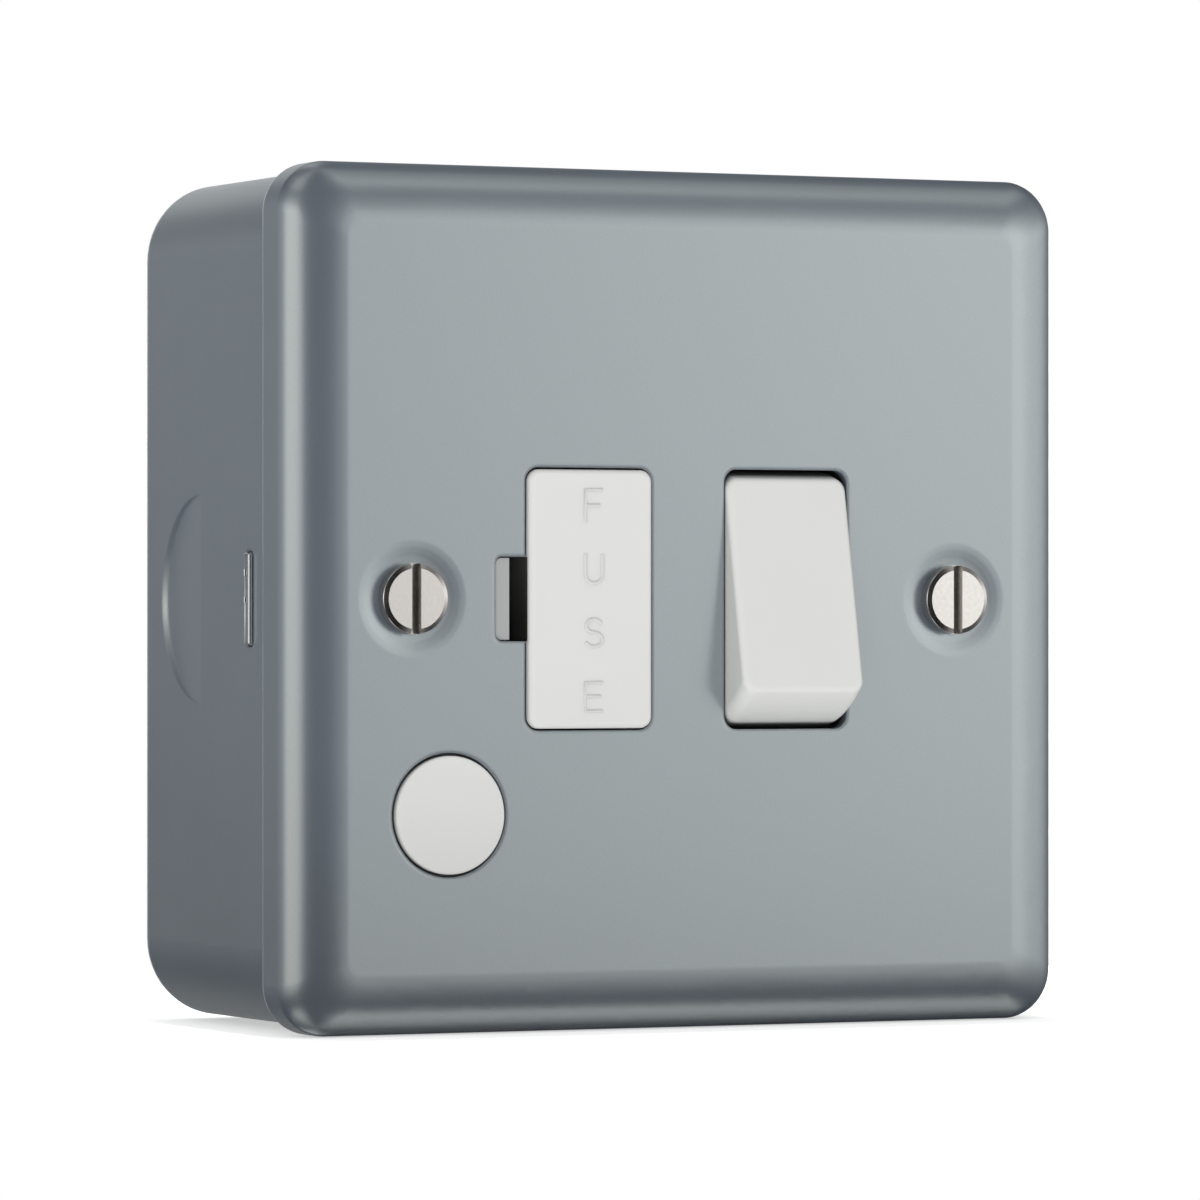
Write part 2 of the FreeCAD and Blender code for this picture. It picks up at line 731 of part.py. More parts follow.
def terminal(name, x, side):
    rear = terminal_rear(name)
    z = side * terminal_row
    shape = block(x - terminal_wide / 2, x + terminal_wide / 2, terminal_floor_y, rear,
                  z - terminal_high / 2, z + terminal_high / 2)
    shape = shape.cut(rod_z(wire_hole_r, x, wire_hole_y, z - terminal_high, z + terminal_high))
    return shape.cut(rod_y(terminal_screw_r + tap_gap, x, z, wire_hole_y, rear + 1))


def terminal_screws():
    screws = []
    for name, x, side in terminal_places():
        z = side * terminal_row
        seat = terminal_rear(name)
        if name.startswith("earth"):
            seat += strap_thick
        reach = terminal_rear(name) - terminal_screw_reach
        shank = rod_y(terminal_screw_r, x, z, reach, seat)
        rear = seat + terminal_head_high
        head = rod_y(terminal_head_r, x, z, seat, rear)
        slot = block(x - terminal_head_r, x + terminal_head_r, rear - terminal_slot_deep, rear + 1,
                     z - terminal_slot_wide / 2, z + terminal_slot_wide / 2)
        screws.append(fuse_all([shank, head]).cut(slot))
    return Part.makeCompound(screws)


def swing_rocker(shape):
    """Turn a piece of the rocker from its middle to its off position."""
    turned = shape.copy()
    turned.rotate(V(0, pivot_y, 0), V(1, 0, 0), -rocker_swing)
    return turned


def swing_lever(shape):
    turned = shape.copy()
    turned.rotate(V(0, lever_y, 0), V(1, 0, 0), lever_wing_angle)
    return turned


def rocker_slice(radius, front, rear, half_wide):
    """Slice of a drum about the pivot, flat at its front and rear."""
    drum = rod_x(radius, pivot_y, 0, rocker_x - half_wide, rocker_x + half_wide)
    keep = block(rocker_x - half_wide, rocker_x + half_wide, pivot_y - front, pivot_y + rear,
                 -radius - 1, radius + 1)
    return drum.common(keep)


def rocker():
    outer = rocker_slice(rocker_end_r, rocker_face, rocker_rear, rocker_half_wide)
    drum_edges = []
    for edge in outer.Edges:
        if edge.Curve.TypeId == "Part::GeomCircle":
            drum_edges.append(edge)
    outer = outer.makeFillet(rocker_corner_r, drum_edges)
    outer = outer.makeFillet(rocker_edge_r, edges_at(outer, pivot_y - rocker_face))
    inner = rocker_slice(rocker_end_r - rocker_wall, rocker_face - rocker_wall, rocker_rear + 1,
                         rocker_half_wide - rocker_wall)
    parts = [outer.cut(inner)]
    inside = pivot_y - rocker_face + rocker_wall / 2
    for x in (live_x, neutral_x):
        parts.append(rod_y(stem_r, x, 0, inside, pivot_y + stem_long))
    parts.append(block(live_x, neutral_x, inside, pivot_y + stem_long - stem_tie_short,
                       -stem_tie_thick / 2, stem_tie_thick / 2))
    half = rocker_half_wide
    for start, end in ((-half - trunnion_long, -half + rocker_wall),
                       (half - rocker_wall, half + trunnion_long)):
        parts.append(rod_x(trunnion_r, pivot_y, 0, rocker_x + start, rocker_x + end))
    shape = fuse_all(parts)
    for x in (live_x, neutral_x):
        shape = shape.cut(rod_y(plunger_r + plunger_gap, x, 0, pivot_y - rocker_face + 2 * rocker_wall,
                                pivot_y + stem_long + 1))
    return swing_rocker(shape)


def plunger_tip_distance():
    """From the rocker's pivot to the centre of the plunger's round tip."""
    wing_front = lever_y - lever_thick / 2
    level = wing_front - plunger_tip_r - plunger_rest_gap
    return (level - pivot_y) / math.cos(math.radians(rocker_swing))


def plunger(x):
    tip = pivot_y + plunger_tip_distance()
    start = tip - plunger_long
    neck = rod_y(plunger_tip_r, x, 0, tip - plunger_neck_long, tip)
    body = rod_y(plunger_r, x, 0, start, tip - plunger_neck_long)
    ball = Part.makeSphere(plunger_tip_r, V(x, tip, 0))
    return swing_rocker(fuse_all([body, neck, ball]))


def plunger_spring(x):
    """Close-wound spring drawn as its rippled outline, between bore end and plunger."""
    start = pivot_y - rocker_face + 2 * rocker_wall
    end = pivot_y + plunger_tip_distance() - plunger_long
    turns = max(3, round((end - start) / (spring_wire * 1.5)))
    pitch = (end - start) / turns
    outside = plunger_r - spring_gap
    root = outside - 0.4 * spring_wire
    points = []
    for index in range(turns):
        y0 = start + index * pitch
        points += [V(root, y0, 0), V(outside, y0 + 0.3 * pitch, 0), V(outside, y0 + 0.7 * pitch, 0)]
    points += [V(root, end, 0), V(outside - spring_wire, end, 0), V(outside - spring_wire, start, 0),
               V(root, start, 0)]
    coil = Part.Face(Part.makePolygon(points)).revolve(V(0, 0, 0), V(0, 1, 0), 360)
    coil.translate(V(x, 0, 0))
    return swing_rocker(coil)


def lever_wing(x, side):
    wing = block(x - lever_wide / 2, x + lever_wide / 2, lever_y - lever_thick / 2, lever_y + lever_thick / 2,
                 min(0, side * lever_half_long), max(0, side * lever_half_long))
    wing.rotate(V(x, lever_y, 0), V(1, 0, 0), side * lever_wing_angle)
    return wing


def contact_lever(x):
    """Shallow V of sheet that rocks on its knuckle."""
    half = lever_wide / 2 - knuckle_in
    knuckle = rod_x(knuckle_r, lever_y, 0, x - half, x + half)
    past = knuckle_r + 1
    trim = block(x - lever_wide, x + lever_wide, lever_y, lever_y + past, -past, past)
    shape = fuse_all([lever_wing(x, 1), lever_wing(x, -1), knuckle.common(trim)])
    return swing_lever(shape)


def moving_tip(x):
    rear = lever_y + lever_thick / 2
    tip = rod_y(tip_r, x, tip_place, rear, rear + tip_high)
    tip.rotate(V(x, lever_y, 0), V(1, 0, 0), lever_wing_angle)
    return swing_lever(tip)


def fixed_tip_front():
    return lever_y + lever_thick / 2 + tip_high + tip_gap


def fixed_tips():
    tips = []
    for x in (live_x, neutral_x):
        front = fixed_tip_front()
        tips.append(rod_y(tip_r, x, tip_place, front, front + fixed_tip_high))
    return Part.makeCompound(tips)


def fixed_contact(x):
    """Strip from a feed terminal, folded up into the anvil of its contact."""
    reach = terminal_row - terminal_high / 2
    half = strip_wide / 2
    near = tip_place - tip_r - anvil_past
    strip = block(x - half, x + half, strip_y, floor_y, near, reach)
    top = fixed_tip_front() + fixed_tip_high
    wall = block(x - half, x + half, top, floor_y, near, near + strip_thick)
    pad = block(x - half, x + half, top, top + strip_thick, near, tip_place + tip_r + anvil_past)
    return fuse_all([strip, wall, pad])


def fulcrum_post(x):
    half = strip_wide / 2
    top = lever_y + lever_thick / 2 + fulcrum_top_gap
    post = block(x - half + fulcrum_in, x + half - fulcrum_in, top, floor_y, -fulcrum_half, fulcrum_half)
    return post.cut(rod_x(knuckle_r + knuckle_gap, lever_y, 0, x - half, x + half))


def fulcrum_neutral():
    half = strip_wide / 2
    reach = terminal_row - terminal_high / 2
    strip = block(neutral_x - half, neutral_x + half, strip_y, floor_y, -reach, fulcrum_half)
    return fuse_all([fulcrum_post(neutral_x), strip])


def fulcrum_live():
    half = strip_wide / 2
    strip = block(fuse_x + half, live_x + half, strip_y, floor_y, -half, half)
    return fuse_all([fulcrum_post(live_x), strip])


def fuse_clip(side):
    """U of sprung sheet that grips one cap of the fuse."""
    inner = fuse_r + clip_gap
    centre = side * (fuse_long / 2 - fuse_cap_long / 2)
    z0 = centre - clip_wide / 2
    z1 = centre + clip_wide / 2
    tip_y = fuse_y - clip_reach
    web = block(fuse_x - inner - clip_thick, fuse_x + inner + clip_thick, strip_y, floor_y, z0, z1)
    parts = [web]
    for hand in (-1, 1):
        a = fuse_x + hand * inner
        b = fuse_x + hand * (inner + clip_thick)
        out = hand * clip_flare * 0.5
        profile = [V(a, floor_y, z0), V(b, floor_y, z0), V(b, tip_y, z0), V(b + out, tip_y - clip_flare, z0),
                   V(a + out, tip_y - clip_flare, z0), V(a, tip_y, z0), V(a, floor_y, z0)]
        parts.append(Part.Face(Part.makePolygon(profile)).extrude(V(0, 0, clip_wide)))
    half = strip_wide / 2
    if side > 0:
        parts.append(block(fuse_x - half, fuse_x + half, strip_y, floor_y, -half, z0))
    else:
        reach = terminal_row - terminal_high / 2
        parts.append(block(fuse_x - half, fuse_x + half, strip_y, floor_y, -reach, z1))
    return fuse_all(parts)


def fuse_tube():
    half = fuse_long / 2 - fuse_cap_wall
    return rod_z(fuse_tube_r, fuse_x, fuse_y, -half, half)


def fuse_cap(side):
    ends = sorted((side * (fuse_long / 2 - fuse_cap_long), side * fuse_long / 2))
    cap = rod_z(fuse_r, fuse_x, fuse_y, ends[0], ends[1])
    end_edges = []
    for edge in cap.Edges:
        if all(abs(abs(vertex.Z) - fuse_long / 2) < 1e-6 for vertex in edge.Vertexes):
            end_edges.append(edge)
    cap = cap.makeFillet(fuse_cap_edge_r, end_edges)
    return cap.cut(fuse_tube())


def fuse_carrier():
    front = face_y - carrier_proud
    back = front + carrier_face_thick
    face = rounded_block(carrier_half_wide, carrier_half_high, carrier_corner_r, front, back, x=fuse_x)
    face = face.makeFillet(carrier_edge_r, edges_at(face, front))
    cradle_rear = fuse_y + fuse_r + cradle_rear_wall
    cradle = block(fuse_x - cradle_half_wide, fuse_x + cradle_half_wide, back - 1, cradle_rear,
                   -cradle_half_high, cradle_half_high)
    cradle = cradle.cut(rod_z(fuse_tube_r + cradle_gap, fuse_x, fuse_y, -cradle_half_high - 1,
                              cradle_half_high + 1))
    mouth = cradle_mouth / 2
    cradle = cradle.cut(block(fuse_x, fuse_x + cradle_half_wide + 1, fuse_y - mouth, fuse_y + mouth,
                              -cradle_half_high - 1, cradle_half_high + 1))
    outside = fuse_x - carrier_half_wide
    rail_rear = front + carrier_rear_length()
    rail = block(outside, outside + rail_thick, back - 1, rail_rear, -rail_half_high, rail_half_high)
    tie = block(outside, fuse_x - cradle_half_wide + 0.5, fuse_y - tie_thick / 2, fuse_y + tie_thick / 2,
                -cradle_half_high, cradle_half_high)
    parts = [face, cradle, rail, tie]
    for side in (-1, 1):
        z = side * catch_place
        parts.append(block(outside - catch_out, outside + 0.5, rail_rear - catch_deep, rail_rear,
                           z - catch_high / 2, z + catch_high / 2))
    shape = fuse_all(parts)
    bite = block(outside - 1, outside + pry_bite, front + pry_lip, front + pry_bite_deep,
                 -notch_high / 2, notch_high / 2)
    return shape.cut(bite)


def blanking_plug():
    """Snap-in blank of the cord outlet, with barbed legs behind the eyelet."""
    front = face_y - plug_proud
    head = rod_y(outlet_hole_r - plug_gap, outlet_x, outlet_z, front, plate_back_y)
    head = head.makeFillet(plug_edge_r, edges_at(head, front))
    legs = rod_y(plug_leg_r, outlet_x, outlet_z, plate_back_y, plug_leg_end)
    barb = Part.makeCone(plug_leg_r + plug_gap + plug_barb, plug_leg_r - plug_barb_lead,
                         plug_leg_end - eyelet_rear,
                         V(outlet_x, eyelet_rear, outlet_z), V(0, 1, 0))
    shape = fuse_all([head, legs, barb])
    behind = plug_leg_end + 1
    shape = shape.cut(rod_y(plug_leg_r - plug_leg_wall, outlet_x, outlet_z, plate_back_y, behind))
    far = eyelet_r + 1
    slit = plug_slit / 2
    slit_y = plate_back_y + plug_slit_in
    shape = shape.cut(block(outlet_x - far, outlet_x + far, slit_y, behind, outlet_z - slit, outlet_z + slit))
    return shape.cut(block(outlet_x - slit, outlet_x + slit, slit_y, behind, outlet_z - far, outlet_z + far))


def cord_grip_bar():
    """Clamp bar with an arch in its middle for the cord."""
    y0 = grip_y() - grip_bar_wide / 2
    y1 = y0 + grip_bar_wide
    x1 = grip_pad_x
    x0 = x1 - grip_bar_thick
    bar = block(x0, x1, y0, y1, grip_z - grip_bar_long / 2, grip_z + grip_bar_long / 2)
    arch = rod_y(grip_arch_r, x1, grip_z, y0, y1)
    arch = arch.common(block(x1 - 2 * grip_arch_r, x1, y0, y1, grip_z - grip_arch_r, grip_z + grip_arch_r))
    shape = fuse_all([bar, arch]).cut(rod_y(grip_arch_bore_r, x1, grip_z, y0 - 1, y1 + 1))
    for side in (-1, 1):
        shape = shape.cut(rod_x(grip_screw_r + grip_hole_gap, grip_y(), grip_z + side * grip_screw_pitch / 2,
                                x0 - 1, x1 + 1))
    return shape


def cord_grip_screws():
    screws = []
    x0 = grip_pad_x - grip_bar_thick
    for side in (-1, 1):
        z = grip_z + side * grip_screw_pitch / 2
        shank = rod_x(grip_screw_r, grip_y(), z, x0, x0 + grip_screw_long)
        head = rod_x(grip_screw_head_r, grip_y(), z, x0 - grip_screw_head_high, x0)
        screws.append(fuse_all([shank, head]))
    return Part.makeCompound(screws)


def box_earth_tab():
    """Raised tab welded to the back of the box for the box's earth wire."""
    inside = -box_sheet
    half = earth_tab_wide / 2
    top = inside - earth_tab_rise
    foot = block(earth_tab_x + half, earth_tab_x + half + earth_tab_foot, inside - earth_tab_thick, inside,
                 -half, half)
    riser = block(earth_tab_x + half, earth_tab_x + half + earth_tab_thick, top, inside, -half, half)
    tab = block(earth_tab_x - half, earth_tab_x + half + earth_tab_thick, top, top + earth_tab_thick,
                -half, half)
    shape = fuse_all([foot, riser, tab])
    return shape.cut(rod_y(screw_shank_r + thread_gap, earth_tab_x, 0, top - 1, top + 2))


def box_earth_screw():
    top = -box_sheet - earth_tab_rise
    shank = rod_y(screw_shank_r, earth_tab_x, 0, top, top + earth_screw_long)
    front = top - terminal_head_high
    head = rod_y(terminal_head_r, earth_tab_x, 0, front, top)
    slot = block(earth_tab_x - terminal_head_r, earth_tab_x + terminal_head_r, front - 1,
                 front + terminal_slot_deep, -terminal_slot_wide / 2, terminal_slot_wide / 2)
    return fuse_all([shank, head]).cut(slot)


def all_parts():
    parts = {
        "back_box": back_box(),
        "lug_left": lug(-1),
        "lug_right": lug(1),
        "box_earth_tab": box_earth_tab(),
        "box_earth_screw": box_earth_screw(),
        "front_plate": front_plate(),
        "plate_screw_left": plate_screw(-1),
        "plate_screw_right": plate_screw(1),
        "module_front": module_front(),
        "module_base": module_base(),
        "base_screws": base_screws(),
        "retaining_nuts": retaining_nuts(),
        "earth_strap": earth_strap(),
        "terminal_screws": terminal_screws(),
        "rocker": rocker(),
        "plunger_live": plunger(live_x),
        "plunger_neutral": plunger(neutral_x),
        "plunger_spring_live": plunger_spring(live_x),
        "plunger_spring_neutral": plunger_spring(neutral_x),
        "contact_lever_live": contact_lever(live_x),
        "contact_lever_neutral": contact_lever(neutral_x),
        "moving_tip_live": moving_tip(live_x),
        "moving_tip_neutral": moving_tip(neutral_x),
        "fixed_tips": fixed_tips(),
        "fixed_contact_live": fixed_contact(live_x),
        "fixed_contact_neutral": fixed_contact(neutral_x),
        "fulcrum_live": fulcrum_live(),
        "fulcrum_neutral": fulcrum_neutral(),
        "fuse_clip_top": fuse_clip(1),
        "fuse_clip_bottom": fuse_clip(-1),
        "fuse_tube": fuse_tube(),
        "fuse_cap_top": fuse_cap(1),
        "fuse_cap_bottom": fuse_cap(-1),
        "fuse_carrier": fuse_carrier(),
        "blanking_plug": blanking_plug(),
        "cord_grip_bar": cord_grip_bar(),
        "cord_grip_screws": cord_grip_screws(),
    }
    for name, x, side in terminal_places():
        parts[name] = terminal(name, x, side)
    return parts


os.makedirs("parts", exist_ok=True)
for name, shape in all_parts().items():
    shape.exportStep("parts/" + name + ".step")
    print(name, len(shape.Solids), round(shape.Volume, 1), shape.isValid())
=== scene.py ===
import math

import bpy
from mathutils import Matrix, Vector


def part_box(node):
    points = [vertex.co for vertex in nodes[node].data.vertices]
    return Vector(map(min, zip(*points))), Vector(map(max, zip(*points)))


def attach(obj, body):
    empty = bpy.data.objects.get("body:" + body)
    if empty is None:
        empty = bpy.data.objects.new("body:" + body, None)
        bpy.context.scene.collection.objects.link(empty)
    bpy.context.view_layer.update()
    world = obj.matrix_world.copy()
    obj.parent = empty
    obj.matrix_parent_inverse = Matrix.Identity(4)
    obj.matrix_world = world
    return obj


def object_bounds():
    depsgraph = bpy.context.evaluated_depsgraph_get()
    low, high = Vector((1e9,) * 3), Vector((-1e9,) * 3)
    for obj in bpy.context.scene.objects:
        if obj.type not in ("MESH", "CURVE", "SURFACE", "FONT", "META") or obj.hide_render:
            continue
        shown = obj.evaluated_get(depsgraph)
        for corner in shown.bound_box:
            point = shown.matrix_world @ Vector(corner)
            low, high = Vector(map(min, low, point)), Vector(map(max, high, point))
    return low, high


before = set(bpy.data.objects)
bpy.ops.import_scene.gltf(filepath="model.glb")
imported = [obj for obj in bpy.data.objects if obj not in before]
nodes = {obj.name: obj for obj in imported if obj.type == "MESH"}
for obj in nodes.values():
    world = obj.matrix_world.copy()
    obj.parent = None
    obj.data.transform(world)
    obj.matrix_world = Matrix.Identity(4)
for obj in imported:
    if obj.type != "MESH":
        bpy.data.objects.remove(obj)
cadLow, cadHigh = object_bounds()
mm = 0.001
print("frame loaded:", len(nodes), "nodes")


# Shader sockets that take part in plain arithmetic
class Value:
    def __init__(self, shader, socket):
        self.shader = shader
        self.socket = socket

    def maths(self, operation, *others):
        sockets = {0: self}
        for place, other in enumerate(others):
            sockets[place + 1] = other
        return self.shader.node("ShaderNodeMath", {"operation": operation}, sockets)

    def __add__(self, other):
        return self.maths("ADD", other)

    __radd__ = __add__

    def __mul__(self, other):
        return self.maths("MULTIPLY", other)

    __rmul__ = __mul__

    def __sub__(self, other):
        return self.maths("SUBTRACT", other)

    def __rsub__(self, other):
        return (self * -1) + other

    def __truediv__(self, other):
        return self.maths("DIVIDE", other)

    def smooth(self, low, high):  # soft step from 0 at low to 1 at high
        return self.shader.node("ShaderNodeMapRange", {"interpolation_type": "SMOOTHSTEP"},
                                {"Value": self, "From Min": low, "From Max": high})


class Graph:
    def __init__(self, tree):
        self.tree = tree
        tree.nodes.clear()

    def node(self, kind, settings=None, sockets=None, out=0):
        made = self.tree.nodes.new(kind)
        for key, value in (settings or {}).items():
            if key == "stops":
                self.setStops(made.color_ramp, value)
            else:
                setattr(made, key, value)
        for key, value in (sockets or {}).items():
            if isinstance(value, Value):
                self.tree.links.new(value.socket, made.inputs[key])
            else:
                made.inputs[key].default_value = value
        return Value(self, made.outputs[out] if made.outputs else None)

    def setStops(self, ramp, stops):
        while len(ramp.elements) < len(stops):
            ramp.elements.new(1.0)
        for element, (place, level) in zip(ramp.elements, stops):
            element.position = place
            element.color = (level, level, level, 1)


class Shader(Graph):
    def __init__(self, owner):
        owner.use_nodes = True
        super().__init__(owner.node_tree)

    def place(self):  # object coordinates, in metres
        return self.node("ShaderNodeTexCoord", out=3)

    def noise(self, size, detail=2.0, roughness=0.5, stretch=(1, 1, 1)):
        spot = self.node("ShaderNodeMapping", {}, {"Vector": self.place(), "Scale": stretch})
        return self.node("ShaderNodeTexNoise", {},
                         {"Vector": spot, "Scale": 1 / size, "Detail": detail, "Roughness": roughness})

    def mix(self, share, first, second):
        return self.node("ShaderNodeMix", {"data_type": "RGBA"}, {0: share, 6: first, 7: second}, out=2)

    def bump(self, height, strength, distance, **others):
        return self.node("ShaderNodeBump", {},
                         {"Height": height, "Strength": strength, "Distance": distance, **others})

    def split(self, vector):
        made = self.node("ShaderNodeSeparateXYZ", {}, {0: vector}).socket.node
        return [Value(self, socket) for socket in made.outputs]

    def rays(self):  # whether the ray is from the camera, a shiny face or a clear one
        made = self.node("ShaderNodeLightPath").socket.node
        return [Value(self, made.outputs[name])
                for name in ("Is Camera Ray", "Is Glossy Ray", "Is Transmission Ray")]


def opaque(colour):
    return (*colour, 1)


def shaded(colour, factor):
    return opaque([min(channel * factor, 1) for channel in colour])


powderCoat = {
    "pigment": (0.31, 0.376, 0.465),
    "pigmentRoughness": 0.6,
    "sheen": (0.455, 0.485, 0.47),
    "sheenRoughness": 0.285,
    "sheenShare": 0.70,
    "sheenSpread": 0.03,
    "softEdge": 0.5 * mm,
    "cloudSize": 9 * mm,
    "cloudDepth": 0.03,
    "flakeSize": 0.22 * mm,
    "flakeDepth": 0.08,
    "flakeShare": 0.6,
    "peelSize": 1.2 * mm,
    "peelHeight": 0.0007,
    "screwPitch": 60.3,
    "poolEdges": (5.7, 3.7),
    "poolDeep": 0.23,
    "poolAhead": (-37.0, -38.5),
}


# Paint that gathers in the dishes around the plate screws, as a height in mm
def pooledPaint(shader, look):
    across, deep, up = [coordinate / mm for coordinate in shader.split(shader.place())]
    aside = across.maths("ABSOLUTE") - look["screwPitch"] / 2
    reach = (aside.maths("POWER", 2.0) + up.maths("POWER", 2.0)).maths("SQRT")
    edge, floor = look["poolEdges"]
    inward = (reach - edge) / (floor - edge)
    upper = inward.maths("MAXIMUM", 0.0).maths("MINIMUM", 0.5)
    lower = (inward - 0.5).maths("MAXIMUM", 0.0).maths("MINIMUM", 0.5)
    onFace = deep.smooth(*look["poolAhead"])
    return (upper * upper + lower - lower * lower) * onFace * (2 * look["poolDeep"])


def makePowderCoat(look=powderCoat):
    paint = bpy.data.materials.new("satinPowderCoat")
    shader = Shader(paint)
    cloud = shader.noise(look["cloudSize"], 3)
    flake = shader.noise(look["flakeSize"], 1)
    peel = shader.noise(look["peelSize"], 2) * look["peelHeight"]
    soft = shader.node("ShaderNodeBevel", {"samples": 6}, {"Radius": look["softEdge"]})
    normal = shader.bump(peel + pooledPaint(shader, look), 1.0, mm, Normal=soft)
    tone = cloud * (1 - look["flakeShare"]) + flake * look["flakeShare"]
    layers = []
    for name, metallic in (("pigment", 0.0), ("sheen", 1.0)):
        colour = shader.mix(tone, shaded(look[name], 1 - look["flakeDepth"]),
                            shaded(look[name], 1 + look["flakeDepth"]))
        layers.append(shader.node("ShaderNodeBsdfPrincipled", {}, {
            "Base Color": colour, "Metallic": metallic, "Specular IOR Level": 0.0,
            "Roughness": (cloud - 0.5) * look["cloudDepth"] + look[name + "Roughness"], "Normal": normal}))
    share = (flake - 0.5) * look["sheenSpread"] + look["sheenShare"]
    surface = shader.node("ShaderNodeMixShader", {}, {0: share, 1: layers[0], 2: layers[1]})
    shader.node("ShaderNodeOutputMaterial", {}, {"Surface": surface})
    return paint


# What the mouldings have in common
plainMoulding = {
    "grainStrength": 0.5,
    "roughDepth": 0.08,
    "toneDepth": 0.03,
    "glowThrough": 0.0,
    "glowReach": 0.0,
    # Share of painted shade darkening the colour in recesses, with its reach; none by default
    "paintedRecessShade": 0.0,
    "recessReach": 8 * mm,
    "recessOpen": (0.08, 0.3),
}

whitePlastic = {
    **plainMoulding,
    "colour": (0.765, 0.77, 0.75),
    "roughness": 0.42,
    "grainSize": 0.15 * mm,
    "grainHeight": 0.002 * mm,
    "toneSize": 14 * mm,
    "toneDepth": 0.012,
    "glowThrough": 0.3,
    "glowReach": 1.0 * mm,
    "paintedRecessShade": 0.8,
}

letterPlastic = {
    **whitePlastic,
    "colour": (0.70, 0.705, 0.685),
    "roughness": 0.6,
    "glowThrough": 0.0,
    "paintedRecessShade": 0.0,
}

greyPlastic = {
    **plainMoulding,
    "colour": (0.41, 0.42, 0.42),
    "roughness": 0.5,
    "grainSize": 0.25 * mm,
    "grainHeight": 0.006 * mm,
    "toneSize": 10 * mm,
    "paintedRecessShade": 0.75,
}

glazedCeramic = {
    **plainMoulding,
    "colour": (0.78, 0.76, 0.70),
    "roughness": 0.22,
    "grainSize": 0.6 * mm,
    "grainHeight": 0.004 * mm,
    "toneSize": 3 * mm,
}


def makeMoulding(name, look):
    plastic = bpy.data.materials.new(name)
    shader = Shader(plastic)
    grain = shader.noise(look["grainSize"], 2)
    tone = shader.noise(look["toneSize"], 2)
    colour = shader.mix(tone, shaded(look["colour"], 1 - look["toneDepth"]),
                        shaded(look["colour"], 1 + look["toneDepth"]))
    # Painted shade: where ambient occlusion finds a recess, the colour is darkened towards black
    if look["paintedRecessShade"]:
        openness = shader.node("ShaderNodeAmbientOcclusion", {"samples": 8},
                               {"Distance": look["recessReach"]}, out=1)
        paintedShadeColour = shader.mix(look["paintedRecessShade"], colour, opaque((0, 0, 0)))
        colour = shader.mix(openness.smooth(*look["recessOpen"]), paintedShadeColour, colour)
    rough = (grain - 0.5) * look["roughDepth"] + look["roughness"]
    surface = shader.node("ShaderNodeBsdfPrincipled", {}, {
        "Base Color": colour, "Roughness": rough, "Subsurface Weight": look["glowThrough"],
        "Subsurface Radius": (1, 1, 1), "Subsurface Scale": look["glowReach"],
        "Normal": shader.bump(grain, look["grainStrength"], look["grainHeight"])})
    shader.node("ShaderNodeOutputMaterial", {}, {"Surface": surface})
    return plastic


metals = {
    "zinc_steel": {"colour": (0.60, 0.61, 0.62), "roughness": 0.32, "grain": (1, 1, 6), "size": 0.5 * mm},
    "nickel": {"colour": (0.77, 0.74, 0.70), "roughness": 0.24, "grain": (1, 1, 1), "size": 0.4 * mm},
    "brass": {"colour": (0.76, 0.58, 0.28), "roughness": 0.28, "grain": (1, 1, 1), "size": 0.5 * mm},
    "bronze": {"colour": (0.70, 0.47, 0.27), "roughness": 0.30, "grain": (1, 1, 5), "size": 0.4 * mm},
    "silver": {"colour": (0.86, 0.85, 0.83), "roughness": 0.2, "grain": (1, 1, 1), "size": 0.3 * mm},
    "spring_steel": {"colour": (0.46, 0.46, 0.47), "roughness": 0.3, "grain": (1, 4, 1), "size": 0.2 * mm},
}

# What the metals have in common
metalSurface = {
    "wearSize": 4 * mm,
    "wearShades": (0.93, 1.05),
    "wearRough": 0.08,
    "grainRough": 0.14,
    "grainStrength": 0.4,
    "grainHeight": 0.004 * mm,
}


def makeMetal(name, look, surfaceLook=metalSurface):
    metal = bpy.data.materials.new(name)
    shader = Shader(metal)
    grain = shader.noise(look["size"], 3, 0.6, look["grain"])
    wear = shader.noise(surfaceLook["wearSize"], 3)
    worn, fresh = [shaded(look["colour"], shade) for shade in surfaceLook["wearShades"]]
    rough = ((grain - 0.5) * surfaceLook["grainRough"] + (wear - 0.5) * surfaceLook["wearRough"]
             + look["roughness"])
    surface = shader.node("ShaderNodeBsdfPrincipled", {}, {
        "Base Color": shader.mix(wear, worn, fresh), "Metallic": 1.0, "Roughness": rough,
        "Normal": shader.bump(grain, surfaceLook["grainStrength"], surfaceLook["grainHeight"])})
    shader.node("ShaderNodeOutputMaterial", {}, {"Surface": surface})
    return metal


finishes = {
    "grey_powder_coat": makePowderCoat(),
    "white_moulding": makeMoulding("whiteMoulding", whitePlastic),
    "grey_moulding": makeMoulding("greyMoulding", greyPlastic),
    "fuse_ceramic": makeMoulding("glazedCeramic", glazedCeramic),
}
for slotName, look in metals.items():
    finishes[slotName] = makeMetal(slotName + "Metal", look)


def dressNodes():
    for node in nodes.values():
        for place, old in enumerate(node.data.materials):
            node.data.materials[place] = finishes[old.name.split(".")[0]]


dressNodes()
print("finishes made:", len(finishes))


# Raised word on the fuse carrier
wordLook = {
    "letters": {"F": (7.25, 11.2), "U": (1.2, 4.8), "S": (-5.1, -1.65), "E": (-11.5, -7.95)},
    "left": -12.05,
    "wide": 2.6,
    "stroke": 0.72,
    "raised": 0.21,
    "sunk": 0.165,
}


def bend(centre, radii, first, last, steps=14):
    turns = [math.radians(first + (last - first) * step / steps) for step in range(steps + 1)]
    return [(centre[0] + radii[0] * math.cos(turn), centre[1] + radii[1] * math.sin(turn)) for turn in turns]


